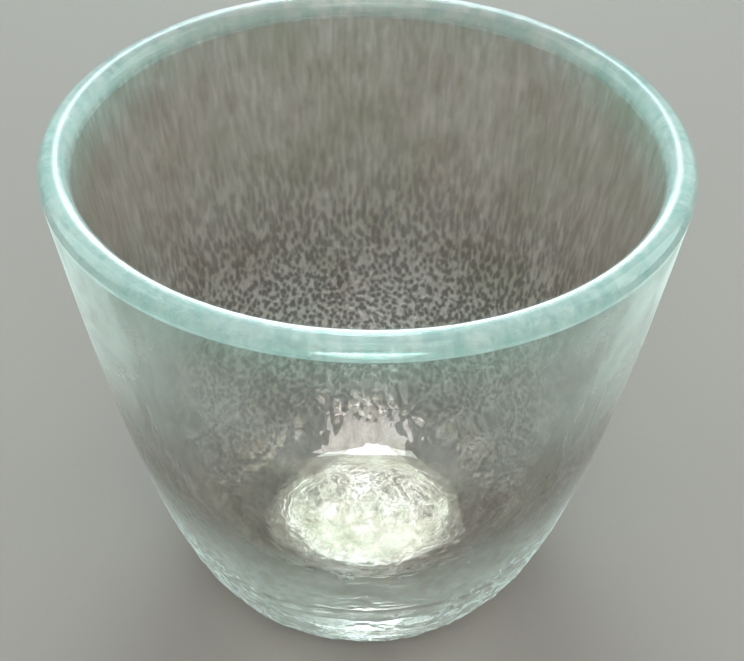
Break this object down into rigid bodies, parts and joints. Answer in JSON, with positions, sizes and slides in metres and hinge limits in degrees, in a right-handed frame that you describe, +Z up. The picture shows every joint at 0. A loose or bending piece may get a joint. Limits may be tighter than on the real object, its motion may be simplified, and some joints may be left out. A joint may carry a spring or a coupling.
{
  "type": "mixing glass",
  "caption": "Heavy open-mouthed hand-made mixing glass: a dimpled tapering bowl with a rounded heel, a thick tinted rounded lip and a thick welded foot with a shallow hollow.",
  "frame": {"origin": "centre of the plane that the foot stands on", "axes": "+Z up along the glass's axis of revolution, from the foot to the mouth; X and Y are free, because the shape is round"},
  "size_m": [0.096, 0.096, 0.083],
  "materials": {
    "bowl_glass": "clear fire-polished glass with a mould-dimpled inner wall",
    "lip_glass": "aqua-tinted fire-polished glass",
    "foot_glass": "clear thick glass, polished underneath"
  },
  "bodies": {
    "root": {"bowl": "bowl_glass", "lip_trail": "lip_glass", "foot": "foot_glass"}
  },
  "joints": []
}
